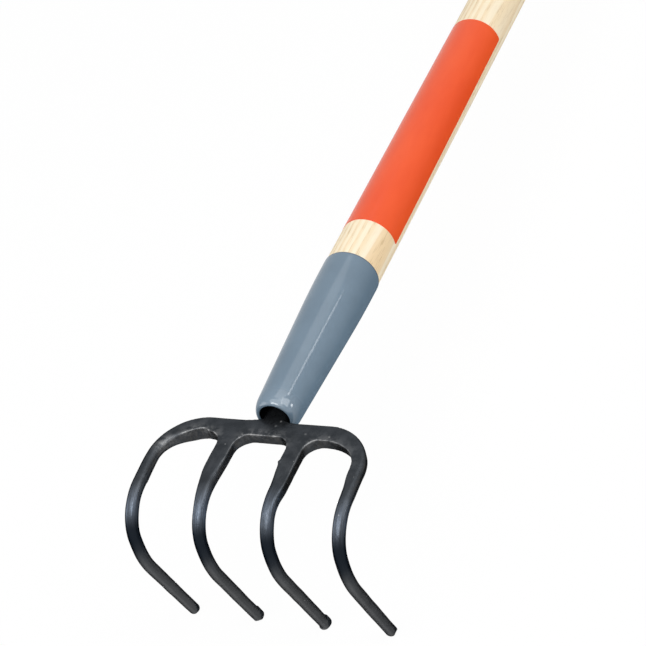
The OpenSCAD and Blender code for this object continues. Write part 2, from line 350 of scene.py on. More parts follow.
def yoke_rings(rolled):
    """The yoke from its middle to the end of one shoulder.

    A rolled one has lost the front edge of its arch.
    """
    outer_wall = (YOKE_HEIGHT / 2, EDGE_ROUND, DRAFT)
    rings = []
    for x, roll in ((0, 0), (ROLL_FROM, 0), (mix(ROLL_FROM, SHOULDER_X, 0.5), rolled)):
        middle = (x, YOKE_OFFSET, YOKE_MIDDLE)
        inside = arch_wall(YOKE_HEIGHT / 2, roll)
        rings.append(ring(middle, UP, BACK, YOKE_THICKNESS / 2, outer_wall, inside))
    for i in range(SHOULDER_STEPS + 1):
        along = i / SHOULDER_STEPS
        k = ease(along)
        turn = math.radians(90 * along)
        out = np.array([math.sin(turn), 0, math.cos(turn)])
        middle = np.array([SHOULDER_X, YOKE_OFFSET, SHOULDER_Z]) + (SHOULDER_RADIUS - TINE_R) * out
        half_thickness = mix(YOKE_THICKNESS / 2, TINE_R, k)
        inside = shoulder_wall(along, rolled)
        rings.append(ring(middle, out, BACK, half_thickness, eased_wall(TINE_R, k), inside))
    return rings


def drop_rings(rolled):
    """The straight drop below a shoulder, whose inner wall eases to round unless it is round already."""
    rings = []
    for i in range(1, DROP_STEPS):
        k = ease(i / DROP_STEPS)
        middle = (OUTER_X, YOKE_OFFSET, mix(SHOULDER_Z, BEND_Z, i / DROP_STEPS))
        inside = (TINE_R, mix(TINE_R, BEND_CORNER, k), 0) if rolled else eased_wall(TINE_R, k)
        rings.append(ring(middle, RIGHT, BACK, TINE_R, (TINE_R * BEND_SLIM, BEND_CORNER, 0), inside))
    return rings


def root_rings(x, longer):
    """The root of an inner tine: flared into the arches, then flat walled, then easing to round."""
    foot = SOFT_FILLET - ARCH_FILLET
    rings = [root_ring(x, FILLET_Z - YOKE_MIDDLE, SOFT_FILLET)]
    for i in range(FILLET_STEPS):
        turn = math.radians(90 - 90 * i / FILLET_STEPS)
        rings.append(root_ring(x, foot - SOFT_FILLET * math.sin(turn), SOFT_FILLET * (1 - math.cos(turn))))
    return rings + [root_ring(x, mix(foot, ROUND_FROM, i / ROOT_STEPS), 0, longer) for i in range(ROOT_STEPS)]


def hook_rings(x, from_angle):
    """The rest of a tine, from an angle of its bend on: a flattened bend, a round sweep and a point."""
    rings = []
    for i in range(BEND_STEPS + 1):
        angle = mix(from_angle, BEND_ANGLE, i / BEND_STEPS)
        k = smooth_step(BEND_ANGLE / 2, BEND_ANGLE, angle)
        r, corner = TINE_R * mix(BEND_SLIM, 1, k), mix(BEND_CORNER, TINE_R, k)
        rings.append(rod(x, BEND_MIDDLE - BEND_RADIUS * direction(angle), angle, r, corner))
    for i in range(1, SWEEP_STEPS + 1):
        angle = BEND_ANGLE + SWEEP_ANGLE * i / SWEEP_STEPS
        rings.append(rod(x, SWEEP_MIDDLE - SWEEP_RADIUS * direction(angle), angle, TINE_R))
    for i in range(1, POINT_STEPS):
        k = i / POINT_STEPS
        along = k * (POINT_LENGTH - END_ROUND)
        rings.append(rod(x, SWEEP_END + along * POINT_WAY, HOOK_ANGLE, mix(TINE_R, POINT_R, k)))
    for i in range(ROUND_STEPS + 1):
        turn = math.radians(90 * i / ROUND_STEPS)
        along = POINT_LENGTH - END_ROUND * (1 - math.sin(turn))
        r = POINT_R - END_ROUND * (1 - math.cos(turn))
        rings.append(rod(x, SWEEP_END + along * POINT_WAY, HOOK_ANGLE, r))
    return rings


def neck_rings():
    """The neck from inside the yoke through the ferrule's mouth, then the tapered round tang."""
    half = NECK_THICKNESS / 2
    neck_y = YOKE_OFFSET - YOKE_THICKNESS / 2 + half
    room = MOUTH_HOLE_D / 2 - NECK_CLEARANCE - half
    half_width = half + math.sqrt(room * room - neck_y * neck_y)

    def neck(z, flare, k):
        middle = (0, mix(YOKE_OFFSET, neck_y, k), z)
        thickness = mix(YOKE_THICKNESS / 2, half, k)
        corner = mix(EDGE_ROUND, half, k)
        right, left = ((half_width + flare * wider, corner, 0) for wider in (1, LEFT_FLARE))
        return ring(middle, RIGHT, BACK, thickness, right, left)

    def tang(z, y, half_wide, half_thick):
        wall = (half_wide, half_thick, 0)
        return ring((0, y, z), RIGHT, BACK, half_thick, wall, wall)

    rings = [neck(YOKE_MIDDLE, NECK_FLARE, 0)]
    for i in range(FILLET_STEPS + 1):
        k = i / FILLET_STEPS
        turn = math.radians(90 - 90 * k)
        rings.append(neck(-(YOKE_GAP + DRAFT) * math.sin(turn), NECK_FLARE * (1 - math.cos(turn)), k))
    for i in range(1, ROOT_STEPS + 1):
        k = ease(i / ROOT_STEPS)
        wide, deep = mix(half_width, TANG_ROOT_D / 2, k), mix(half, TANG_ROOT_D / 2, k)
        rings.append(tang(NOSE_SETBACK * i / ROOT_STEPS, mix(neck_y, 0, k), wide, deep))
    for cut in (0, TANG_CHAMFER):
        r = TANG_END_D / 2 - cut
        rings.append(tang(TANG_END - TANG_CHAMFER + cut, 0, r, r))
    return rings


def mirrored(rings):
    return [one * (-1, 1, 1) for one in rings]


def loft(rings, start):
    """Faces of a closed skin through rings whose first point has the number start."""
    n = SECTION_SIDES
    last = start + (len(rings) - 1) * n
    faces = [list(range(start, start + n)), list(range(last, last + n))]
    for s in range(len(rings) - 1):
        for i in range(n):
            a, b = start + s * n + i, start + s * n + (i + 1) % n
            faces.append([a, b, b + n, a + n])
    return faces


def fuse(lofts):
    """One even skin round overlapping lofts, with its joints rounded as a forging's are."""
    points, faces = [], []
    for rings in lofts:
        faces += loft(rings, len(points))
        points += [p for one in rings for p in one]
    mesh = build_mesh("head_lofts", np.array(points), faces)
    shell = bpy.data.objects.new("head_lofts", mesh)
    bpy.context.scene.collection.objects.link(shell)
    remesh = shell.modifiers.new("fuse", "REMESH")
    remesh.mode = "VOXEL"
    remesh.voxel_size = SKIN_VOXEL * MM
    rounding = shell.modifiers.new("round", "SMOOTH")
    rounding.iterations = SKIN_PASSES
    skin = bpy.data.meshes.new_from_object(shell.evaluated_get(bpy.context.evaluated_depsgraph_get()))
    bpy.data.objects.remove(shell)
    skin.name = "cultivator_forging"
    return skin


def edge_pairs(mesh):
    pairs = np.empty(len(mesh.edges) * 2, int)
    mesh.edges.foreach_get("vertices", pairs)
    return pairs.reshape(-1, 2)


def spread(values, pairs, passes):
    """Each point's value averaged with its neighbours', as many times as passes says."""
    count = np.bincount(pairs.ravel(), minlength=len(values)) + 1
    for _ in range(passes):
        total = np.bincount(pairs[:, 0], values[pairs[:, 1]], len(values))
        total += np.bincount(pairs[:, 1], values[pairs[:, 0]], len(values))
        values = (values + total) / count
    return values


def sharpness(places, normals, pairs):
    """How tightly the skin turns outward at each point, in turns per millimetre."""
    step = places[pairs[:, 1]] - places[pairs[:, 0]]
    length = (step * step).sum(1)
    rise = np.bincount(pairs[:, 0], (step * normals[pairs[:, 0]]).sum(1) / length, len(places))
    rise -= np.bincount(pairs[:, 1], (step * normals[pairs[:, 1]]).sum(1) / length, len(places))
    count = np.bincount(pairs.ravel(), minlength=len(places))
    return spread(-2 * rise / np.maximum(count, 1), pairs, EDGE_PASSES)


# How far the forging leans to one side: at the yoke, and for each tine at its bend and at its point
YOKE_DRIFT = -0.4
BEND_DRIFT = np.array([0.3, 0.3, -0.25, 0.3])
POINT_DRIFT = np.array([0.0, -0.2, 0.35, -0.3])
# Heights between which the yoke's lean goes over into a bend's
BEND_HEIGHTS = (-30, -48)
# Forging marks: how far the hammered skin wanders, and how wide its waves are
HAMMER_DEPTH = 0.11
HAMMER_WAVE = 9.0
# The cut ends of the points: each cutting plane's tilt from the point's way, its turn and its setback
POINT_CUTS = [
    [(45, 32, 0.5), (48, 122, 0.4), (40, -100, 0.5)],
    [(50, 70, 0.9), (44, -140, 0.5)],
    [(46, 32, 0.5), (52, 150, 0.6)],
    [(66, 14, 1.0), (50, 60, 0.7), (55, 100, 0.6)],
]
# How near its end a tine is cut or burred
POINT_REACH = 10
# Burrs and dents of the points: the tine, the side as an angle, the height, and how far back they begin
POINT_BURRS = [(1, -58, 0.5, 6.9), (2, -58, 0.6, 5.3), (2, 122, 0.4, 1.6), (3, 85, -0.35, 1.5)]
BURR_STEP = 0.4
BURR_SPREAD = 45
# Radii over which a burr rises out of the tine's middle
BURR_RADII = (0.5, 2.0)
# A burr left on one root's edge: where it stands across and up, its size and its height
ROOT_BURR = (13.6, -27.7, 0.9)
ROOT_BURR_HEIGHT = 0.55
# Worn places along the arches' front edges: where across and up, how far they reach and how bare they are
WORN_PLACES = [
    (-38, -11, 9, 1.0), (-25, -13, 4, 0.7), (-9, -12, 6, 0.85), (3, -11.5, 6, 0.7),
    (13, -14, 4, 0.3), (24, -12.5, 6, 0.6), (34, -11.5, 4, 0.4), (44, -17, 5, 0.3),
]
LEAST_WORN = 0.18
# Small chips in the coat of the front face, across and up
CHIPS = [(-11.6, -12.4), (-12.4, -14.3), (2.7, -5.1), (19.6, -8.9), (4.2, -2.0), (31.9, -9.4)]
CHIP_SIZE = 0.5
# The left shoulder, where its rolled edge gets a painted highlight: across and up, and how far it reaches
SHOULDER_HIGHLIGHT = (-48.5, -21.5, 4.5)
# How strongly each tine's bend gets its painted highlight, and by how many degrees that painted highlight
# starts later
BEND_HIGHLIGHT_SHARE = np.array([0.95, 1.3, 0.85, 0.65])
BEND_HIGHLIGHT_LATER = np.array([14, 9, 0, 2])
# Angles round the bend's middle over which the painted highlight and the painted shade of a hook come and go,
# and its grey point begins
BEND_HIGHLIGHT_COMES, BEND_HIGHLIGHT_GOES = (-12, 36), (34, 68)
BEND_SHADE_COMES, BEND_SHADE_GOES = (34, 72), (80, 130)
GROUND_COMES = (95, 150)
# Trimmed edges: how sharp they are, how high they lie, how deep below the mouth, and how they face
EDGE_SHARPNESS = (0.22, 0.6)
TRIM_HEIGHTS = (-46, -36)
TRIM_DEPTHS = (0, 2)
TRIM_FRONT = (-0.2, 0.3)
# The way that trimmed edges were scraped from, how far a scraped face turns to it, and the least scraping
SCRAPE_WAY = np.array([0, -0.75, -0.66])
SCRAPED = (0.25, 0.85)
LEAST_SCRAPED = 0.25
# How far and how strongly the scraping spreads into scuffs on the face
SCUFF_PASSES = 90
SCUFF_GAIN = 5
# Depths over which the coat gets drawn out, and how far sheared walls, and the sides of the points that get a
# painted reflection, face their ways
DRAWN_DEPTHS = (24, 40)
WALL_FACING = (0.55, 0.95)
REFLECTION_FACING = (0.6, 0.95)


def tine_of(places):
    """The number of the tine that each point lies nearest to."""
    return np.clip(np.rint((places[:, 0] + OUTER_X) / TINE_PITCH), 0, TINE_COUNT - 1).astype(int)


def drifted(places):
    """Moves the yoke and each tine's bend and point a little sideways, because no forging is quite even."""
    _, y, z = places.T
    tine = tine_of(places)
    bend = smooth_step(*BEND_HEIGHTS, z)
    point = smooth_step(BEND_MIDDLE[0], BEND_MIDDLE[0] + POINT_LENGTH, y)
    yoke = YOKE_DRIFT * smooth_step(0, YOKE_TOP, z)
    drift = mix(yoke, BEND_DRIFT[tine], np.maximum(bend, point))
    drift = mix(drift, POINT_DRIFT[tine], point)
    return places + np.outer(drift, RIGHT)


def patch(places, x, z, size):
    """A soft round patch of the head as seen from the front, one at its middle."""
    return np.exp(-((places[:, 0] - x) ** 2 + (places[:, 2] - z) ** 2) / size ** 2)


def hammered(places, normals):
    """Moves the skin in and out in soft waves, as forged steel does, and raises one root's burr."""
    wave = np.array([noise.noise(Vector(p) / HAMMER_WAVE) for p in places])
    burr = ROOT_BURR_HEIGHT * patch(places, *ROOT_BURR)
    return places + normals * (HAMMER_DEPTH * wave + burr)[:, None]


def burrs(tine, local, way, side, top):
    """How far each point near a tine's end moves for its burrs and dents."""
    along, across, over = local @ way, local @ side, local @ top
    radius = np.hypot(across, over)
    angle = np.degrees(np.arctan2(over, across))
    rise = np.zeros(len(local))
    for _, burr_angle, height, back in (burr for burr in POINT_BURRS if burr[0] == tine):
        turned = (angle - burr_angle + 180) % 360 - 180
        begun = smooth_step(-BURR_STEP, BURR_STEP, along + back)
        rise += height * begun * np.exp(-(turned / BURR_SPREAD) ** 2)
    out = (np.outer(across, side) + np.outer(over, top)) / np.maximum(radius, BURR_RADII[0])[:, None]
    return out * (rise * smooth_step(*BURR_RADII, radius))[:, None]


def cut_points(places):
    """Gives each tine's end its own cut planes and burrs."""
    way = np.array([0, *POINT_WAY])
    side = np.array(RIGHT)
    top = np.cross(way, side)
    for tine, x in enumerate(TINE_XS):
        end = np.array([x, *POINT_END])
        local = places - end
        near = np.linalg.norm(local, axis=1) < POINT_REACH
        places = places + burrs(tine, local, way, side, top) * near[:, None]
        for tilt, turn, setback in POINT_CUTS[tine]:
            ahead, aside = direction(tilt)
            lean = direction(turn)
            plane = ahead * way + aside * (lean[0] * side + lean[1] * top)
            beyond = (places - end) @ plane - (POINT_R * aside - setback)
            places = places - np.outer(np.where(near & (beyond > 0), beyond, 0), plane)
    return places


def hook_bands(places):
    """The bands of each hook: a painted highlight over its bend, painted shade to its sweep, then grey to its
    point.
    """
    angle = np.degrees(np.arctan2(BEND_Z - places[:, 2], BEND_MIDDLE[0] - places[:, 1]))
    tine = tine_of(places)
    painted_bend_highlight = smooth_step(*BEND_HIGHLIGHT_COMES, angle - BEND_HIGHLIGHT_LATER[tine]) * (1 - smooth_step(*BEND_HIGHLIGHT_GOES, angle))
    painted_bend_shade = smooth_step(*BEND_SHADE_COMES, angle) * (1 - smooth_step(*BEND_SHADE_GOES, angle))
    return painted_bend_highlight * BEND_HIGHLIGHT_SHARE[tine], painted_bend_shade, smooth_step(*GROUND_COMES, angle)


def mark_wear(skin, places):
    """Keeps, for the coat to read, where it is drawn, ground and trimmed, and where it gets painted
    highlights, painted shade and a painted reflection.
    """
    normals = coordinates(skin, "normal") @ TOOL.T
    pairs = edge_pairs(skin)
    height, front = places[:, 2], normals[:, 1] < 0
    worn = LEAST_WORN + sum(bare * patch(places, x, z, size) for x, z, size, bare in WORN_PLACES)
    chips = np.minimum(1, sum(patch(places, x, z, CHIP_SIZE) for x, z in CHIPS)) * front
    edge = smooth_step(*EDGE_SHARPNESS, sharpness(places, normals, pairs))
    on_yoke = smooth_step(*TRIM_HEIGHTS, height) * smooth_step(*TRIM_DEPTHS, -height)
    scraped = smooth_step(*SCRAPED, normals @ SCRAPE_WAY)
    trim = edge * on_yoke * mix(LEAST_SCRAPED, 1, scraped)
    trim = trim * smooth_step(*TRIM_FRONT, -normals[:, 1]) * np.minimum(worn, 1)
    scuff = np.minimum(1, SCUFF_GAIN * spread(trim * scraped, pairs, SCUFF_PASSES))
    walls = np.maximum(-normals[:, 2], normals[:, 0])
    painted_bend_highlight, painted_bend_shade, ground = hook_bands(places)
    marks = {
        "place": places,
        "drawn": smooth_step(*DRAWN_DEPTHS, -height),
        "painted_bend_highlight": painted_bend_highlight,
        "painted_bend_shade": painted_bend_shade,
        "ground": ground,
        "painted_side_reflection": ground * smooth_step(*REFLECTION_FACING, normals @ OUTER_WAY),
        "trim_edge": np.maximum(trim, chips),
        # Scuffs spread from the trimmed edges, together with the painted highlight on the left shoulder
        "scuff_and_shoulder_highlight": np.maximum(scuff, patch(places, *SHOULDER_HIGHLIGHT) * front),
        "trim_wall": on_yoke * smooth_step(*WALL_FACING, walls),
    }
    for name, values in marks.items():
        write_attribute(skin, name, values)


def forge_head(material):
    """The yoke, shoulders, tines, neck and tang, forged in one."""
    left, right = (yoke_rings(roll) + drop_rings(roll) + hook_rings(OUTER_X, 0) for roll in (ARCH_ROLL, 0))
    lofts = [mirrored(left[:0:-1]) + right, neck_rings()]
    for x in TINE_XS[1:-1]:
        rings = root_rings(abs(x), LONGER_FLAT if x > 0 else 0) + hook_rings(abs(x), ROUND_ANGLE)
        lofts.append(rings if x > 0 else mirrored(rings))
    skin = fuse(lofts)
    places = (coordinates(skin) - np.array(MOUTH)) @ TOOL.T / MM
    normals = coordinates(skin, "normal") @ TOOL.T
    places = drifted(cut_points(hammered(places, normals)))
    skin.vertices.foreach_set("co", in_row(places).ravel())
    skin.update()
    mark_wear(skin, places)
    skin.shade_smooth()
    show(skin, material, "forged_head")


# Ferrule, handle, label and brad

def ferrule_outside(z):
    bent = max(0, z - CURVE_START)
    return CONE_FOOT_R + CONE_SLOPE * (z - LIP_ROUND) - CONE_SLOPE * bent ** 2 / (2 * FERRULE_CURVE)


def curve_heights(start, end):
    return [mix(start, end, i / CURVE_STEPS) for i in range(CURVE_STEPS + 1)]


def turn_ferrule(material):
    """A tapered tube with a lip turned in round the mouth and a thin rim that runs on over the wood."""
    rim_z = RIM_TOP - FERRULE_RIM_ROUND
    over_wood_r = HANDLE_R + FERRULE_CLEARANCE
    bead = FERRULE_WALL / 2
    lip_foot = ferrule_outside(LIP_RISE) - LIP_R
    outside = [(LIP_R + lip_foot * c, LIP_RISE * (1 + s)) for c, s in arc((0, 0), 1, -90, 0, LIP_STEPS)]
    outside += [(ferrule_outside(z), z) for z in curve_heights(CURVE_START, rim_z)]
    outside += arc((FERRULE_TOP_R - FERRULE_RIM_ROUND, rim_z), FERRULE_RIM_ROUND, RIM_START, 90, RIM_STEPS)
    inside = [(over_wood_r, RIM_TOP), (over_wood_r, FERRULE_LENGTH)]
    inside += [(ferrule_outside(z) - FERRULE_WALL, z) for z in curve_heights(FERRULE_LENGTH, CURVE_START)]
    inside += arc((LIP_R, LIP_ROUND), LIP_ROUND - FERRULE_WALL, 0, -90, LIP_STEPS)
    lip_bead = arc((MOUTH_HOLE_D / 2 + bead, bead), bead, 90, 270, LIP_STEPS)
    points, faces = revolve(outside + inside + lip_bead, closed=True)
    mesh = build_mesh("enamelled_ferrule", points, faces)
    is_inside = [0] * len(outside) + [1] * len(inside) + [0] * len(lip_bead)
    write_attribute(mesh, "inside", np.repeat(is_inside, TURNS))
    show(mesh, material, "ferrule")


def turn_handle(material):
    """The ash handle: tenon and bore inside the ferrule, a long round grip and a rounded butt."""
    tenon_heights = [NOSE_SETBACK] + curve_heights(CURVE_START, FERRULE_LENGTH)
    inset = FERRULE_WALL + FERRULE_CLEARANCE
    bore_end = TANG_END + TANG_CLEARANCE
    profile = [(0, bore_end), (TANG_END_D / 2 + TANG_CLEARANCE, bore_end)]
    profile += [(TANG_ROOT_D / 2 + TANG_CLEARANCE, NOSE_SETBACK)]
    profile += [(ferrule_outside(z) - inset, z) for z in tenon_heights]
    profile += [(ferrule_outside(FERRULE_LENGTH) - inset, SEAT_Z), (HANDLE_R, SEAT_Z)]
    profile += arc((HANDLE_R - BUTT_ROUND, BUTT_Z - BUTT_ROUND), BUTT_ROUND, 0, 90, BUTT_STEPS)
    profile += [(0, BUTT_Z)]
    points, faces = revolve(profile, closed=False)
    show(build_mesh("ash_handle", points, faces), material, "handle")


def label_points(film):
    """Rows of points on one face of the label, with small round corners and one caught air bubble."""
    inner = HANDLE_R + LABEL_CLEARANCE
    points = []
    for k in 0.5 - 0.5 * np.cos(np.linspace(0, np.pi, LABEL_STEPS + 1)):
        height = k * LABEL_LENGTH
        short = max(0, LABEL_CORNER - min(height, LABEL_LENGTH - height))
        inset = LABEL_CORNER - math.sqrt(max(0, LABEL_CORNER ** 2 - short ** 2))
        edge = mix(LABEL_EDGE_LOW, LABEL_EDGE_HIGH, k)
        turned_in = math.degrees(inset / inner)
        for angle in np.linspace(edge - LABEL_WRAP + turned_in, edge - turned_in, LABEL_STEPS + 1):
            away = (angle - edge - BUBBLE_TURN) / BUBBLE_SPREAD
            lift = BUBBLE_RISE * math.exp(-away ** 2 - ((height - BUBBLE_HEIGHT) / BUBBLE_LENGTH) ** 2)
            x, y = (inner + film + lift) * direction(angle)
            points.append((x, y, FERRULE_LENGTH + LABEL_SPACE + height))
    return points


def wrap_label(material):
    """The film round the handle, laid on a little askew: two faces and the border between them."""
    last, width = LABEL_STEPS, LABEL_STEPS + 1
    under = width * width
    faces = []
    for row in range(last):
        for column in range(last):
            a = row * width + column
            faces.append([a, a + 1, a + 1 + width, a + width])
            faces.append([under + a, under + a + width, under + a + 1 + width, under + a + 1])
    border = list(range(width)) + [row * width + last for row in range(1, width)]
    border += [last * width + column for column in range(last - 1, -1, -1)]
    border += [row * width for row in range(last - 1, 0, -1)]
    for a, b in zip(border, border[1:] + border[:1]):
        faces.append([a, b, under + b, under + a])
    points = np.array(label_points(LABEL_FILM) + label_points(0))
    show(build_mesh("film_label", points, faces), material, "label")


def drive_brad(material):
    """A small domed brad that pins the ferrule to the wood, on the tool's back."""
    z = FERRULE_LENGTH - BRAD_INSET
    seat = ferrule_outside(z + BRAD_HEAD_D / 2) + FERRULE_CLEARANCE
    dome_r = ((BRAD_HEAD_D / 2) ** 2 + BRAD_HEAD_H ** 2) / (2 * BRAD_HEAD_H)
    open_angle = math.degrees(math.asin(BRAD_HEAD_D / 2 / dome_r))
    dome = arc((0, BRAD_HEAD_H - dome_r), dome_r, 90 - open_angle, 90, LIP_STEPS)
    profile = [(0, -BRAD_LENGTH), (BRAD_POINT_D / 2, -BRAD_LENGTH)]
    profile += [(BRAD_D / 2, BRAD_POINT_LENGTH - BRAD_LENGTH), (BRAD_D / 2, 0)]
    profile += dome[:-1] + [(0, BRAD_HEAD_H)]
    points, faces = revolve(profile, closed=False)
    points = np.stack([points[:, 0], seat + points[:, 2], z - points[:, 1]], 1)
    show(build_mesh("domed_brad", points, faces), material, "ferrule_brad")


# Shader helpers

def feed(tree, socket, value):
    """Sets a socket to a number, vector or colour, or links another node's output to it."""
    if isinstance(value, bpy.types.NodeSocket):
        tree.links.new(value, socket)
    else:
        socket.default_value = value


def add(tree, kind, inputs=None, **settings):
    """Adds a shader node with its settings, and feeds its inputs."""
    made = tree.nodes.new("ShaderNode" + kind)
    for name, value in settings.items():
        setattr(made, name, value)
    for socket, value in (inputs or {}).items():
        feed(tree, made.inputs[socket], value)
    return made


def sum_of(tree, operation, a, b):
    return add(tree, "Math", {0: a, 1: b}, operation=operation).outputs[0]


def times(tree, a, b):
    return sum_of(tree, "MULTIPLY", a, b)


def mix_value(tree, factor, low, high):
    return add(tree, "MapRange", {"Value": factor, "To Min": low, "To Max": high}).outputs["Result"]


def ramp(tree, value, low, high, out_low=0.0, out_high=1.0):
    """A value eased from one range to another."""
    ends = {"From Min": low, "From Max": high, "To Min": out_low, "To Max": out_high}
    return add(tree, "MapRange", {"Value": value, **ends}, interpolation_type="SMOOTHSTEP").outputs["Result"]


def blend(tree, factor, a, b):
    """One colour laid over another."""
    return add(tree, "Mix", {0: factor, 6: a, 7: b}, data_type="RGBA").outputs[2]


def place(tree, stretch=(1, 1, 1)):
    """Where a point lies in the tool's frame, in millimetres, with each axis stretched."""
    read = add(tree, "Attribute", attribute_name="place")
    return add(tree, "Mapping", {"Vector": read.outputs["Vector"], "Scale": stretch}).outputs["Vector"]


def place_parts(tree):
    return add(tree, "SeparateXYZ", {"Vector": place(tree)}).outputs


def mark(tree, name):
    """A number that the mesh keeps for each of its points."""
    return add(tree, "Attribute", attribute_name=name).outputs["Fac"]


def clouds(tree, where, scale, detail=2.0, roughness=0.5):
    made = add(tree, "TexNoise", {"Vector": where, "Scale": scale, "Detail": detail, "Roughness": roughness})
    return made.outputs["Fac"]


def bump(tree, height, depth, under=None):
    """A normal for relief of that depth in millimetres, which may lie on other relief."""
    made = add(tree, "Bump", {"Strength": 1.0, "Distance": depth * MM, "Height": height})
    if under is not None:
        feed(tree, made.inputs["Normal"], under)
    return made.outputs["Normal"]


def dress(tree, shader, **sockets):
    """Feeds the shader's sockets, whose names have _ for each space."""
    for name, value in sockets.items():
        feed(tree, shader.inputs[name.replace("_", " ")], value)


def new_material(name, **constants):
    """A material with its one shader, and the constants set on the shader's own sockets."""
    material = bpy.data.materials.new(name)
    material.use_nodes = True
    tree = material.node_tree
    shader = tree.nodes["Principled BSDF"]
    dress(tree, shader, **constants)
    return material, tree, shader


# How far a surface turns aside while its gloss fades
GLOSS_FADES = (0.1, 0.5)
# Millimetres to the right and back, added, over which an edge's gloss ends. Chosen to match the photograph
EDGE_GLOSS_ENDS = (-12, 8)


def soft_sheen(tree, shader, coat, specular, kept=0.0):
    """A gloss that fades to what is kept where the surface turns aside, so its edges don't wash out."""
    aside = add(tree, "LayerWeight", {"Blend": 0.5}).outputs["Facing"]
    weight = ramp(tree, aside, *GLOSS_FADES, coat, kept)
    level = ramp(tree, aside, *GLOSS_FADES, specular, 0)
    dress(tree, shader, Coat_Weight=weight, Specular_IOR_Level=level)


def left_gloss(tree, most):
    """The gloss that an edge keeps: the most on the tool's left, and none on its right and back."""
    part = place_parts(tree)
    ended = ramp(tree, sum_of(tree, "ADD", part["X"], part["Y"]), *EDGE_GLOSS_ENDS)
    return mix_value(tree, ended, most, 0.0)


def new_group(name, inputs, outputs):
    """An empty shader group with named sockets: its tree, its inputs and the node that takes its outputs."""
    tree = bpy.data.node_groups.new(name, "ShaderNodeTree")
    for socket, kind, value in inputs:
        made = tree.interface.new_socket(socket, in_out="INPUT", socket_type=kind)
        made.default_value = value
    for socket, kind in outputs:
        tree.interface.new_socket(socket, in_out="OUTPUT", socket_type=kind)
    return tree, tree.nodes.new("NodeGroupInput").outputs, tree.nodes.new("NodeGroupOutput").inputs


def use_group(tree, group, inputs):
    return add(tree, "Group", inputs, node_tree=group).outputs


FLOAT = "NodeSocketFloat"
VECTOR = "NodeSocketVector"
SPECK_CORE = 0.4


def specks_group():
    """Small scattered specks of dust or grit, as a mask."""
    inputs = [("Place", VECTOR, (0, 0, 0)), ("Per Millimetre", FLOAT, 0.5)]
    inputs += [("Share", FLOAT, 0.05), ("Size", FLOAT, 0.2)]
    tree, given, out = new_group("scattered_specks", inputs, [("Mask", FLOAT)])
    cells = add(tree, "TexVoronoi", {"Vector": given["Place"], "Scale": given["Per Millimetre"]}).outputs
    pick = add(tree, "SeparateColor", {"Color": cells["Color"]}).outputs["Red"]
    chosen = sum_of(tree, "LESS_THAN", pick, given["Share"])
    ends = {"From Min": given["Size"], "From Max": times(tree, given["Size"], SPECK_CORE)}
    near = add(tree, "MapRange", {"Value": cells["Distance"], **ends}).outputs["Result"]
    feed(tree, out["Mask"], times(tree, chosen, near))
    return tree


def unevenness_group():
    """Broad tone and fine relief of a coat that didn't flow out quite evenly."""
    inputs = [("Place", VECTOR, (0, 0, 0)), ("Patch", FLOAT, 0.1), ("Grain", FLOAT, 1.0)]
    tree, given, out = new_group("uneven_coat", inputs, [("Tone", FLOAT), ("Relief", FLOAT)])
    broad = clouds(tree, given["Place"], given["Patch"], 3.0, 0.55)
    feed(tree, out["Tone"], ramp(tree, broad, 0.3, 0.7))
    feed(tree, out["Relief"], clouds(tree, given["Place"], given["Grain"]))
    return tree


SPECKS = specks_group()
UNEVEN = unevenness_group()


# Materials

COAT_DARK, COAT_PALE = (0.038, 0.042, 0.047, 1), (0.054, 0.059, 0.066, 1)
COAT_TINT = (0.1, 0.1, 0.1, 1)
DRAWN_COAT = (0.075, 0.084, 0.097, 1)
# Colour of the painted shade below the bends
PAINTED_SHADE_COAT = (0.010, 0.014, 0.020, 1)
# Colour of the painted highlight over the bends
PAINTED_HIGHLIGHT_COAT = (0.125, 0.155, 0.205, 1)
GROUND_COAT = (0.094, 0.096, 0.099, 1)
# Colour of the painted reflection on one side of the points
PAINTED_REFLECTION_COAT = (0.162, 0.165, 0.17, 1)
WALL_SCALE = (0.085, 0.078, 0.07, 1)
BARE_STEEL = (0.34, 0.34, 0.34, 1)


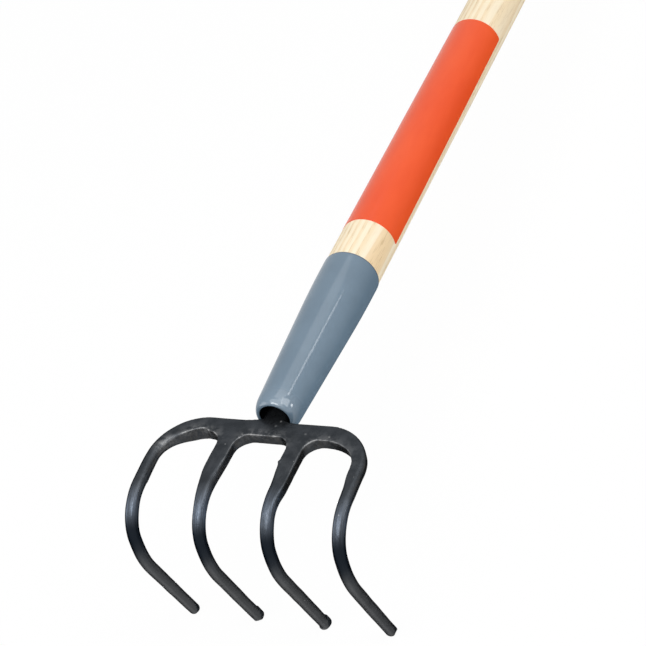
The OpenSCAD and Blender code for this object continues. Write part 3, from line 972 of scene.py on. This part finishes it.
def forging_coat():
    """Black coat on forged steel: mottled, drawn out along the tines, scraped to grey along the arches, with
    painted highlights on the bends and shoulder, painted shade below the bends and a painted reflection on
    the points.
    """
    plain = {"Specular_IOR_Level": 0.0, "Specular_Tint": COAT_TINT}
    material, tree, shader = new_material("black_forging_coat", **plain)
    coat = use_group(tree, UNEVEN, {"Place": place(tree), "Patch": 0.11, "Grain": 1.6})
    streaks = clouds(tree, place(tree, (2.6, 0.05, 0.05)), 1.0, 3.0, 0.6)
    pits = clouds(tree, place(tree), 0.7, 4.0, 0.65)
    base = blend(tree, coat["Tone"], COAT_DARK, COAT_PALE)
    drawn = times(tree, mark(tree, "drawn"), ramp(tree, streaks, 0.4, 0.75))
    base = blend(tree, times(tree, drawn, 0.35), base, DRAWN_COAT)
    # Painted shade: a dark band painted below each bend
    base = blend(tree, times(tree, mark(tree, "painted_bend_shade"), 0.9), base, PAINTED_SHADE_COAT)
    # Painted highlight: a bright bluish band painted over each bend
    painted_bend_highlight = times(tree, mark(tree, "painted_bend_highlight"), ramp(tree, streaks, 0.35, 0.65, 0.15, 0.6))
    base = blend(tree, painted_bend_highlight, base, PAINTED_HIGHLIGHT_COAT)
    base = blend(tree, times(tree, mark(tree, "ground"), 0.85), base, GROUND_COAT)
    # Painted reflection: the side of each point that faces outward is painted lighter
    base = blend(tree, times(tree, mark(tree, "painted_side_reflection"), 0.8), base, PAINTED_REFLECTION_COAT)
    wall_marks = clouds(tree, place(tree, (1.3, 0.25, 0.4)), 1.0, 3.0, 0.6)
    wall = times(tree, mark(tree, "trim_wall"), ramp(tree, wall_marks, 0.35, 0.7))
    base = blend(tree, times(tree, wall, 0.5), base, WALL_SCALE)
    ragged = ramp(tree, clouds(tree, place(tree), 0.22, 4.0, 0.65), 0.38, 0.62)
    # Scuffs, and the painted highlight on the left shoulder, both laid on as bare steel
    scuff = times(tree, mark(tree, "scuff_and_shoulder_highlight"), ragged)
    worn = times(tree, mark(tree, "trim_edge"), mix_value(tree, ragged, 0.1, 1.0))
    grit = {"Place": place(tree), "Per Millimetre": 0.34, "Share": 0.05, "Size": 0.14}
    specks = times(tree, use_group(tree, SPECKS, grit)["Mask"], 0.6)
    bare = sum_of(tree, "MAXIMUM", times(tree, scuff, 0.42), worn)
    bare = sum_of(tree, "MAXIMUM", bare, specks)
    base = blend(tree, bare, base, BARE_STEEL)
    metal = mix_value(tree, bare, 0.9, 0.2)
    roughness = ramp(tree, pits, 0.3, 0.7, 0.27, 0.40)
    relief = bump(tree, coat["Relief"], 0.03, bump(tree, pits, 0.10))
    dress(tree, shader, Base_Color=base, Metallic=metal, Roughness=roughness, Normal=relief)
    return material


ENAMEL_DEEP, ENAMEL_PALE = (0.126, 0.183, 0.240, 1), (0.142, 0.205, 0.267, 1)
ENAMEL_DUST = (0.5, 0.52, 0.55, 1)
RIM_SHADOW_PAINT = (0.03, 0.045, 0.06, 1)
TUBE_INSIDE_SHADE = (0.012, 0.014, 0.015, 1)
# Heights over which the pooled enamel of the lip ends and the painted shadow line at the rim begins
POOL_ENDS = (LIP_RISE, LIP_RISE + 2)
RIM_SHADOW_BEGINS = (RIM_TOP - 0.9, RIM_TOP - 0.3)


def slate_enamel():
    """Glossy slate grey enamel, pooled and glossiest round the lip, with a thin painted shadow line at the
    rim and painted shade inside the tube.
    """
    material, tree, shader = new_material("slate_enamel", Coat_Roughness=0.07, Coat_IOR=1.5)
    coat = use_group(tree, UNEVEN, {"Place": place(tree), "Patch": 0.045, "Grain": 0.9})
    base = blend(tree, coat["Tone"], ENAMEL_DEEP, ENAMEL_PALE)
    dust = {"Place": place(tree), "Per Millimetre": 0.2, "Share": 0.03, "Size": 0.1}
    base = blend(tree, times(tree, use_group(tree, SPECKS, dust)["Mask"], 0.35), base, ENAMEL_DUST)
    height = place_parts(tree)["Z"]
    # Painted shadow: a thin dark line painted round the rim, where the ferrule meets the wood
    base = blend(tree, ramp(tree, height, *RIM_SHADOW_BEGINS, 0, 0.6), base, RIM_SHADOW_PAINT)
    # Painted shade: the inside of the tube is painted near black
    base = blend(tree, mark(tree, "inside"), base, TUBE_INSIDE_SHADE)
    pooled = ramp(tree, height, *POOL_ENDS, 1, 0)
    outside = sum_of(tree, "SUBTRACT", 1.0, mark(tree, "inside"))
    gloss = times(tree, mix_value(tree, pooled, 0.7, 0.25), outside)
    specular = times(tree, mix_value(tree, pooled, 0.3, 0.8), outside)
    soft_sheen(tree, shader, gloss, specular, times(tree, left_gloss(tree, 0.7), outside))
    roughness = mix_value(tree, pooled, 0.33, 0.1)
    dress(tree, shader, Base_Color=base, Roughness=roughness, Normal=bump(tree, coat["Relief"], 0.02))
    return material


# The tree's heart lies this far beside the handle, and the grain leans to it by this much up the handle
HEART_X = 70.35
HEART_Y = 25.3
GRAIN_LEAN = -0.012
# Growth rings: their width and how far they wander, and where the tan crown begins
RING_WIDTH = 3.1
RING_WANDER = 3.0
CROWN = 89.35
CROWN_EDGE = 0.35
LATE_WOOD, EARLY_WOOD = (0.90, 0.80, 0.62, 1), (0.85, 0.70, 0.48, 1)
TAN_WOOD = (0.82, 0.61, 0.36, 1)
WOOD_FIBRE = (0.78, 0.61, 0.39, 1)
WOOD_PORE = (0.48, 0.31, 0.15, 1)


def growth_reach(tree):
    """How far a point of the handle grew from the tree's heart, in millimetres."""
    part = place_parts(tree)
    above = sum_of(tree, "SUBTRACT", part["Z"], FERRULE_LENGTH)
    x = sum_of(tree, "ADD", part["X"], times(tree, above, GRAIN_LEAN))
    x = sum_of(tree, "ADD", x, HEART_X)
    y = sum_of(tree, "SUBTRACT", part["Y"], HEART_Y)
    flat = add(tree, "CombineXYZ", {"X": x, "Y": y}).outputs["Vector"]
    reach = add(tree, "VectorMath", {0: flat}, operation="LENGTH").outputs["Value"]
    wander = clouds(tree, place(tree, (0.05, 0.05, 0.004)), 1.0)
    return sum_of(tree, "ADD", reach, times(tree, wander, RING_WANDER))


def lacquered_ash():
    """Pale ash under clear lacquer: growth rings cut along the handle, pores in dashes, and a tan crown."""
    material, tree, shader = new_material("lacquered_ash", Coat_Roughness=0.16)
    growth = growth_reach(tree)
    rings = sum_of(tree, "FRACT", sum_of(tree, "DIVIDE", growth, RING_WIDTH), 0.0)
    early = times(tree, ramp(tree, rings, 0.0, 0.12), ramp(tree, rings, 0.2, 0.75, 1, 0))
    fibres = clouds(tree, place(tree, (5.0, 5.0, 0.05)), 1.0, 3.0, 0.6)
    pores = ramp(tree, clouds(tree, place(tree, (3.2, 3.2, 0.11)), 1.0, 1.0, 0.4), 0.56, 0.68)
    pores = times(tree, pores, mix_value(tree, early, 0.15, 1.0))
    tan = ramp(tree, growth, CROWN, CROWN + CROWN_EDGE)
    base = blend(tree, early, LATE_WOOD, EARLY_WOOD)
    base = blend(tree, times(tree, tan, 0.75), base, TAN_WOOD)
    base = blend(tree, ramp(tree, fibres, 0.3, 0.75, 0, 0.28), base, WOOD_FIBRE)
    base = blend(tree, times(tree, pores, 0.45), base, WOOD_PORE)
    soft_sheen(tree, shader, 0.3, 0.4)
    roughness = ramp(tree, fibres, 0.3, 0.7, 0.42, 0.55)
    relief = bump(tree, sum_of(tree, "SUBTRACT", fibres, pores), 0.05)
    dress(tree, shader, Base_Color=base, Roughness=roughness, Normal=relief)
    return material


FILM_DEEP, FILM_PALE = (0.75, 0.082, 0.022, 1), (0.79, 0.098, 0.027, 1)


def orange_film():
    """Plain orange red label film, stuck down over the grain."""
    material, tree, shader = new_material("orange_film", Coat_Roughness=0.12)
    coat = use_group(tree, UNEVEN, {"Place": place(tree, (1, 1, 0.3)), "Patch": 0.06, "Grain": 0.5})
    base = blend(tree, coat["Tone"], FILM_DEEP, FILM_PALE)
    soft_sheen(tree, shader, 0.1, 0.2, left_gloss(tree, 0.6))
    roughness = ramp(tree, coat["Relief"], 0.3, 0.7, 0.36, 0.46)
    fibres = clouds(tree, place(tree, (1.2, 1.2, 0.03)), 1.0)
    dress(tree, shader, Base_Color=base, Roughness=roughness, Normal=bump(tree, fibres, 0.03))
    return material


STEEL_DARK, STEEL_PALE = (0.42, 0.42, 0.43, 1), (0.58, 0.58, 0.59, 1)


def brad_steel():
    """Plain steel, brushed by the hammer's face."""
    material, tree, shader = new_material("brad_steel", Metallic=1.0)
    coat = use_group(tree, UNEVEN, {"Place": place(tree), "Patch": 0.6, "Grain": 5.0})
    base = blend(tree, coat["Tone"], STEEL_DARK, STEEL_PALE)
    roughness = ramp(tree, coat["Relief"], 0.3, 0.7, 0.25, 0.45)
    dress(tree, shader, Base_Color=base, Roughness=roughness, Normal=bump(tree, coat["Relief"], 0.03))
    return material


# Stage, light and camera

FLOOR_HALF = 6.0
FLOOR_PALE = (0.86, 0.86, 0.86, 1)
FLOOR_SHOWN = 0.96
WHITE = (1, 1, 1, 1)
WORLD_LIGHT = 0.17
# Lamps round the ferrule's mouth: azimuth, elevation, distance and width, and the level each gives
LAMPS = {
    "overhead_softbox": (-170, 68, 2.4, 2.8, 0.59),
    "key_softbox": (172, 52, 2.0, 1.1, 0.36),
    "right_softbox": (-80, 48, 2.4, 1.6, 0.32),
    "far_fill": (-15, 60, 2.4, 1.6, 0.16),
    "left_fill": (115, 18, 2.4, 1.6, 0.22),
    "back_lamp": (-37, 36, 1.6, 0.14, 0.014),
    "low_lamp": (-75, 14, 1.8, 0.3, 0.06),
}
# The photograph's camera in the tool's frame: roll in degrees, lens in millimetres, sight in metres
CAMERA_PLACE = (482.41, -703.145, -702.894)
CAMERA_AIM = (18.148, -28.195, 37.190)
CAMERA_ROLL = -19.94
CAMERA_LENS = 131.70
SENSOR = 36.0
SEEN_FROM = 0.05
SEEN_TO = 50


def seen_directly(tree):
    """One where the camera sees a surface, also in a mirror or through glass, and nought for its light."""
    path = add(tree, "LightPath").outputs
    seen = sum_of(tree, "MAXIMUM", path["Is Camera Ray"], path["Is Glossy Ray"])
    return sum_of(tree, "MAXIMUM", seen, path["Is Transmission Ray"])


def lay_floor():
    """A pale floor that shows near white and keeps a soft shadow."""
    corners = [(-1, -1), (1, -1), (1, 1), (-1, 1)]
    mesh = bpy.data.meshes.new("pale_floor")
    mesh.from_pydata([(FLOOR_HALF * x, FLOOR_HALF * y, 0) for x, y in corners], [], [(0, 1, 2, 3)])
    floor = bpy.data.objects.new("pale_floor", mesh)
    bpy.context.scene.collection.objects.link(floor)
    matt = {"Base_Color": FLOOR_PALE, "Roughness": 0.9, "Specular_IOR_Level": 0.0}
    material, tree, shader = new_material("pale_floor", **matt)
    glow = add(tree, "Emission", {"Color": WHITE, "Strength": 1.0})
    shown = times(tree, seen_directly(tree), FLOOR_SHOWN)
    mixed = add(tree, "MixShader", {0: shown, 1: shader.outputs[0], 2: glow.outputs[0]})
    feed(tree, tree.nodes["Material Output"].inputs["Surface"], mixed.outputs[0])
    mesh.materials.append(material)


def light_world():
    """A white room that gives little light of its own."""
    world = bpy.data.worlds.new("studio")
    bpy.context.scene.world = world
    world.use_nodes = True
    tree = world.node_tree
    strength = mix_value(tree, seen_directly(tree), WORLD_LIGHT, 1.0)
    dress(tree, tree.nodes["Background"], Color=WHITE, Strength=strength)


def softbox(name, azimuth, elevation, distance, width, level):
    """A square lamp round the ferrule. Its level is the tone that it alone gives a white card facing it."""
    lamp = bpy.data.lights.new(name, "AREA")
    lamp.shape = "SQUARE"
    lamp.size = width
    lamp.energy = level * (math.pi * distance) ** 2
    a, e = math.radians(azimuth), math.radians(elevation)
    out = Vector((math.cos(a) * math.cos(e), math.sin(a) * math.cos(e), math.sin(e)))
    stand = bpy.data.objects.new(name, lamp)
    bpy.context.scene.collection.objects.link(stand)
    stand.location = MOUTH + distance * out
    stand.rotation_euler = out.to_track_quat("Z", "Y").to_euler()


def set_camera():
    """The photograph's camera, given by its place, its aim and its roll."""
    lens = bpy.data.cameras.new("photo_camera")
    lens.sensor_width = SENSOR
    lens.lens = CAMERA_LENS
    lens.clip_start = SEEN_FROM
    lens.clip_end = SEEN_TO
    camera = bpy.data.objects.new("photo_camera", lens)
    bpy.context.scene.collection.objects.link(camera)
    at, aim = (Vector(p) for p in in_row([CAMERA_PLACE, CAMERA_AIM]))
    roll = Matrix.Rotation(math.radians(CAMERA_ROLL), 3, "Z")
    turned = (aim - at).to_track_quat("-Z", "Y").to_matrix() @ roll
    camera.matrix_world = Matrix.Translation(at) @ turned.to_4x4()
    bpy.context.scene.camera = camera


forge_head(forging_coat())
turn_ferrule(slate_enamel())
turn_handle(lacquered_ash())
wrap_label(orange_film())
drive_brad(brad_steel())
lay_floor()
light_world()
for lamp_name, lamp_place in LAMPS.items():
    softbox(lamp_name, *lamp_place)
set_camera()
bpy.context.scene.view_settings.view_transform = "Standard"
